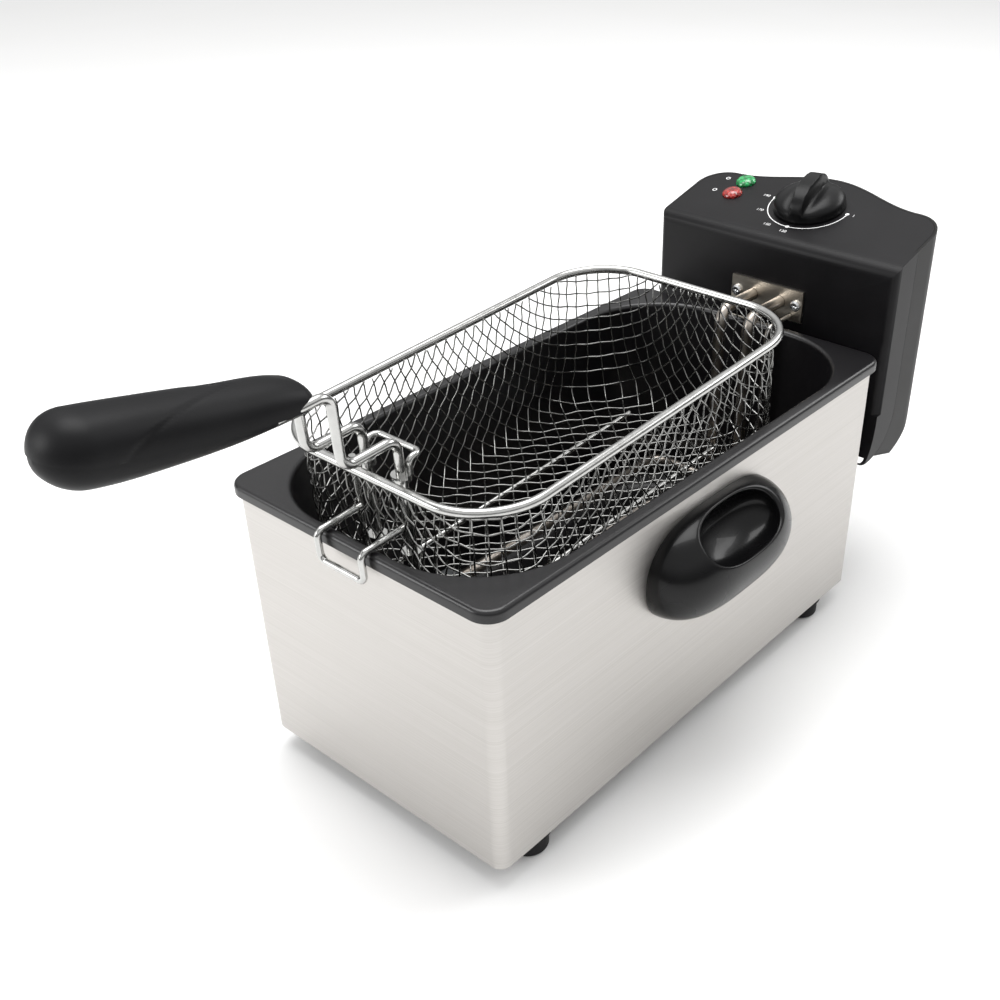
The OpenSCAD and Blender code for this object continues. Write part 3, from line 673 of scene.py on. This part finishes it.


# For each lamp, colour is the painted glint in the middle of the cells and deep is the painted
# shade at their borders.
for word, y, colour, deep, slot in (
        ("power", 226.3, "#C4372F", "#6E130F", "lens_red"),
        ("ready", 242.5, "#25BF68", "#066B34", "lens_green")):
    along = (y * MM - DIAL_Y) / cos(TILT)
    place_piece(lens_shape(word + "_lamp_facets", along),
                lens_with_painted_glints(slot + "_lens", colour, deep),
                slot, "control_unit", word + "_lamp_lens")

# ---- Basket wires ----
# The basket is built of plated steel wire: a thick rim, a hook, two base wires and the
# bracket for the handle, all spot-welded and then plated together.


def chrome_wire(name, dull, bright):
    """Bright plating over drawn wire: satin rather than mirror, with a faint bloom."""
    made, tree = new_material(name)
    place = add_node(tree, "ShaderNodeTexCoord")
    bloom = add_node(tree, "ShaderNodeTexNoise", {
        "Vector": place.outputs["Object"], "Scale": 180.0, "Detail": 3.0})
    tone = add_node(tree, "ShaderNodeValToRGB", {"Fac": bloom.outputs["Fac"]})
    tone.color_ramp.elements[0].color = srgb(dull)
    tone.color_ramp.elements[1].color = srgb(bright)
    gloss = add_node(tree, "ShaderNodeMapRange", {
        "Value": bloom.outputs["Fac"], "To Min": 0.12, "To Max": 0.26})
    finish_material(tree, {"Base Color": tone.outputs["Color"], "Metallic": 1.0,
                           "Roughness": gloss.outputs["Result"]})
    return made


chrome = chrome_wire("bright_plated_wire", "#B2B2B0", "#D0D0CE")
finish_node(chrome, "basket_rim", "basket_hook", "basket_base_wires", "handle_bracket",
            "handle_wires")

BASKET_TILT = radians(3.1)
BASKET_ORIGIN = Vector((0, -157.7 * MM, 207.3 * MM))
BASKET_TURN = Matrix.Rotation(BASKET_TILT, 3, "X")


def in_basket(point):
    """A point of the basket's own frame: origin on the front rim wire, z out of the rim."""
    return BASKET_ORIGIN + BASKET_TURN @ Vector(point)


# ---- Basket mesh ----
# A flat sheet of crimped wire mesh, cut on the bias and drawn into a pan. The wires keep
# their length and slide into shear: squares at the corners, narrow diamonds mid-wall.

# The woven wire has the rim's plating, painted darker and greyer: painted shade for the shade among
# the crossing wires.
shaded_woven_chrome = chrome_wire("woven_wire_painted_shade", "#777775", "#A2A2A0")
CELL = 7.9 * MM
WIRE_R = 0.48 * MM
CRIMP = 0.5 * MM
PAN_HALF = (75.0 * MM - 0.4 * MM, 127.5 * MM - 0.4 * MM)
PAN_CORNER = 35.5 * MM
PAN_FILLET = 12 * MM
PAN_DEPTH = 85 * MM
PAN_MIDDLE = 130 * MM  # from the front rim wire to the middle of the pan
NET_REACH = 62  # cells from the middle of the blank to its edge
RIM_SPARE = 32 * MM
RELAX_ROUNDS, EVENING = 500, 0.9
POINTS_PER_CELL, WIRE_SIDES = 4, 6
CORE = (PAN_HALF[0] - PAN_CORNER, PAN_HALF[1] - PAN_CORNER, PAN_CORNER - PAN_FILLET)


def pan_surface(points):
    """Nearest points of the pan's skin, and the skin's outward directions there."""
    flat = np.maximum(np.abs(points[:, :2]) - CORE[:2], 0)
    size = np.linalg.norm(flat, axis=1)
    over = np.maximum(size - CORE[2], 0)
    heading = flat / np.maximum(size, 1e-9)[:, None] * np.sign(points[:, :2])
    under = np.maximum(PAN_FILLET - PAN_DEPTH - points[:, 2], 0)
    reach = np.maximum(np.hypot(over, under), 1e-9)
    outward = np.column_stack([heading * (over / reach)[:, None], -under / reach])
    base = np.column_stack([points[:, :2] - heading * over[:, None],
                            np.maximum(points[:, 2], PAN_FILLET - PAN_DEPTH)])
    return base + outward * PAN_FILLET, outward


def draw_pan(blank):
    """First guess of where points of the flat blank go when it is drawn into the pan."""
    flat = np.maximum(np.abs(blank) - CORE[:2], 0)
    size = np.linalg.norm(flat, axis=1)
    heading = flat / np.maximum(size, 1e-9)[:, None] * np.sign(blank)
    run = np.maximum(size - CORE[2], 0)
    bend = np.minimum(run / PAN_FILLET, pi / 2)
    rise = np.maximum(run - PAN_FILLET * pi / 2, 0)
    base = blank - heading * run[:, None]
    side = base + heading * (PAN_FILLET * np.sin(bend))[:, None]
    return np.column_stack([side, PAN_FILLET * (1 - np.cos(bend)) - PAN_DEPTH + rise])


def drawn_net():
    """Crossings of the drawn mesh, relaxed until each wire keeps its length."""
    cells = np.arange(-NET_REACH, NET_REACH + 1)
    i, j = np.meshgrid(cells, cells, indexing="ij")
    blank = np.stack([(i - j), (i + j)], -1) * CELL / sqrt(2)
    spread = PAN_DEPTH + RIM_SPARE
    inside = np.maximum(np.abs(blank) - CORE[:2], 0)
    keep = np.linalg.norm(inside, axis=-1) < CORE[2] + spread
    place = np.full(i.shape, -1)
    place[keep] = np.arange(keep.sum())
    points = draw_pan(blank[keep])
    pairs = []
    for step in ((1, 0), (0, 1)):
        here = place[: place.shape[0] - step[0], : place.shape[1] - step[1]]
        there = place[step[0]:, step[1]:]
        both = (here >= 0) & (there >= 0)
        pairs.append(np.column_stack([here[both], there[both]]))
    pairs = np.concatenate(pairs)
    triples = []
    for step in ((1, 0), (0, 1)):
        shape0, shape1 = place.shape[0] - 2 * step[0], place.shape[1] - 2 * step[1]
        a = place[:shape0, :shape1]
        b = place[step[0]: step[0] + shape0, step[1]: step[1] + shape1]
        c = place[2 * step[0]:, 2 * step[1]:]
        all_three = (a >= 0) & (b >= 0) & (c >= 0)
        triples.append(np.column_stack([a[all_three], b[all_three], c[all_three]]))
    triples = np.concatenate(triples)
    share = np.maximum(np.bincount(pairs.ravel(), minlength=len(points)), 1)[:, None]
    for _ in range(RELAX_ROUNDS):
        gap = points[pairs[:, 1]] - points[pairs[:, 0]]
        length = np.maximum(np.linalg.norm(gap, axis=1), 1e-9)
        pull = gap * ((length - CELL) / length / 2)[:, None]
        move = np.zeros_like(points)
        np.add.at(move, pairs[:, 0], pull)
        np.add.at(move, pairs[:, 1], -pull)
        smooth = (points[triples[:, 0]] + points[triples[:, 2]]) / 2 - points[triples[:, 1]]
        np.add.at(move, triples[:, 1], smooth * EVENING)
        points = pan_surface(points + move / share)[0]
    return place, points


def run_smooth(points):
    """Points of a smooth line through the crossings, with the share of the cell they are at."""
    count = len(points)
    ahead = np.vstack([points[1:], 2 * points[-1] - points[-2]])
    behind = np.vstack([2 * points[0] - points[1], points[:-1]])
    tangent = (ahead - behind) / 2
    out, where = [], []
    for k in range(count - 1):
        for s in range(POINTS_PER_CELL):
            t = s / POINTS_PER_CELL
            out.append(points[k] * (2 * t**3 - 3 * t**2 + 1) + tangent[k] * (t**3 - 2 * t**2 + t)
                       + points[k + 1] * (3 * t**2 - 2 * t**3) + tangent[k + 1] * (t**3 - t**2))
            where.append(k + t)
    return np.array(out + [points[-1]]), np.array(where + [count - 1])


def tube_rings(path, radius, sides, verts, faces):
    """Adds a round wire along a path to lists of points and faces."""
    tangent = np.gradient(path, axis=0)
    tangent /= np.maximum(np.linalg.norm(tangent, axis=1), 1e-12)[:, None]
    side = np.cross(tangent[0], (0, 0, 1) if abs(tangent[0][2]) < 0.9 else (1, 0, 0))
    side /= np.linalg.norm(side)
    turns = np.arange(sides) * 2 * pi / sides
    start = len(verts)
    for here, along in zip(path, tangent):
        side = side - along * np.dot(side, along)
        side /= max(np.linalg.norm(side), 1e-12)
        other = np.cross(along, side)
        for a in turns:
            verts.append(here + radius * (side * cos(a) + other * sin(a)))
    for k in range(len(path) - 1):
        for s in range(sides):
            a, b = start + k * sides + s, start + k * sides + (s + 1) % sides
            faces.append((a, b, b + sides, a + sides))
    faces.append([start + s for s in range(sides)][::-1])
    faces.append([start + (len(path) - 1) * sides + s for s in range(sides)])


def woven_pan():
    """Every wire of the mesh, crimped over and under its neighbours, cut off at the rim."""
    place, points = drawn_net()
    verts, faces = [], []
    for family in (0, 1):
        grid = place if family == 0 else place.T
        for line in range(grid.shape[0]):
            index = np.where(grid[line] >= 0)[0]
            if len(index) < 3:
                continue
            path, where = run_smooth(points[grid[line][index]])
            skin, outward = pan_surface(path)
            parity = 1 if (line + index[0] + family) % 2 else -1
            wave = np.cos(where * pi)
            wave = np.sign(wave) * np.abs(wave) ** 0.7
            path = skin + outward * (parity * wave * CRIMP)[:, None]
            below = path[:, 2] < -0.3 * MM
            cuts = np.flatnonzero(np.diff(np.concatenate([[0], below.astype(int), [0]])))
            for first, last in zip(cuts[::2], cuts[1::2]):
                if last - first < 3:
                    continue
                shifted = path[first:last] + [0, PAN_MIDDLE, 0]
                placed = np.array([in_basket(p) for p in shifted])
                tube_rings(placed, WIRE_R, WIRE_SIDES, verts, faces)
    return blank_shape("basket_weave", verts, faces)


place_piece(woven_pan(), shaded_woven_chrome, "basket_chrome", "basket", "basket_mesh")

# ---- Handle grip ----
# Two mouldings of soft-touch black plastic close round the handle's wires. The upper one
# overhangs the lower along a seam, and carries an inset panel that ends in a curved line.

grip_soft = moulded_plastic("soft_touch_black", "#0C0C0E", "#121214", 0.46, 0.0008, 0.00003)
GRIP_FROM = Vector((0, -27 * MM, 55.5 * MM))
GRIP_TO = Vector((0, -146 * MM, 82.5 * MM))
GRIP_AXIS = (GRIP_TO - GRIP_FROM).normalized()
GRIP_UP = Vector((1, 0, 0)).cross(GRIP_AXIS) * -1
GRIP_LONG = (GRIP_TO - GRIP_FROM).length
# share of the length, half width, height over the seam, depth under it, seam over the axis
GRIP_SHAPE = [
    (0.0, 13.5, 8.0, 2.5, -1.0), (0.15, 15.2, 13.0, 5.0, -2.5), (0.35, 16.0, 15.5, 8.0, -4),
    (0.6, 16.8, 17.0, 11.0, -4.0), (0.8, 17.4, 17.0, 13.0, -3.0), (1.0, 17.0, 16.0, 13.0, -1.5)]
SEAM_INSET = 1.1 * MM


def through(stations, column, at):
    """A smooth curve through one column of the stations."""
    xs = [s[0] for s in stations]
    ys = [s[column] for s in stations]
    k = max(i for i in range(len(xs) - 1) if xs[i] <= at)
    t = (at - xs[k]) / (xs[k + 1] - xs[k])
    before, after = max(k - 1, 0), min(k + 2, len(xs) - 1)
    slope0 = (ys[k + 1] - ys[before]) / (xs[k + 1] - xs[before]) * (xs[k + 1] - xs[k])
    slope1 = (ys[after] - ys[k]) / (xs[after] - xs[k]) * (xs[k + 1] - xs[k])
    return (ys[k] * (2 * t**3 - 3 * t**2 + 1) + slope0 * (t**3 - 2 * t**2 + t)
            + ys[k + 1] * (3 * t**2 - 2 * t**3) + slope1 * (t**3 - t**2))


def smooth_step(t):
    """0 to 1 with level ends."""
    t = min(1.0, max(0.0, t))
    return t * t * (3 - 2 * t)


def grip_half_shape(upper, name):
    """One half of the grip, as rings from the basket end to the free end."""
    along, around_steps = 150, 48
    verts, faces = [], []
    for k in range(along + 1):
        at = 0.5 - 0.5 * cos(pi * k / along)
        width, top, under, seam = (through(GRIP_SHAPE, c, at) * MM for c in (1, 2, 3, 4))
        near = min(1.0, at * GRIP_LONG / (9 * MM))
        far = min(1.0, (1 - at) * GRIP_LONG / (17 * MM))
        cap_w = sqrt(max(0.0, 1 - (1 - near) ** 2.6)) * sqrt(max(0.0, 1 - (1 - far) ** 2.2))
        cap_h = sqrt(max(0.0, 1 - (1 - near) ** 2.0)) * sqrt(max(0.0, 1 - (1 - far) ** 2.2))
        centre = GRIP_FROM + GRIP_AXIS * GRIP_LONG * at + GRIP_UP * seam
        for s in range(around_steps + 1):
            a = pi * s / around_steps
            x = (1 if cos(a) > 0 else -1) * abs(cos(a)) ** 0.86
            z = sin(a) ** 0.9
            if upper:
                border = 90 * (1 - min(1, max(0, (at - 0.31) / 0.47))) ** 0.75
                side = min(degrees(a), 180 - degrees(a))
                lift = 0.35 * smooth_step((side - border) / 3.0 + 0.5) * (at > 0.3)
                lift -= 0.45 * np.exp(-(((side - border) / 2.2) ** 2)) * (0.3 < at < 0.8)
                size = 1 + lift * MM / width
                offset = (x * width * cap_w * size, z * top * cap_h * size)
            else:
                inset = min(SEAM_INSET, width * cap_w * 0.5)
                offset = (x * (width * cap_w - inset), -z * under * cap_h)
            verts.append(in_basket(centre + Vector((offset[0], 0, 0)) + GRIP_UP * offset[1]))
    count = around_steps + 1
    for k in range(along):
        for s in range(around_steps):
            a = k * count + s
            quad = (a, a + count, a + count + 1, a + 1)
            faces.append(quad if upper else quad[::-1])
        here, there = k * count, (k + 1) * count
        edge = (here, here + around_steps, there + around_steps, there)
        faces.append(edge if upper else edge[::-1])
    return weld_skin(blank_shape(name, verts, faces), 50)


for upper, word in ((True, "upper"), (False, "lower")):
    place_piece(grip_half_shape(upper, "grip_cover_" + word), grip_soft, "handle_plastic",
                "basket_handle", "handle_grip_" + word)
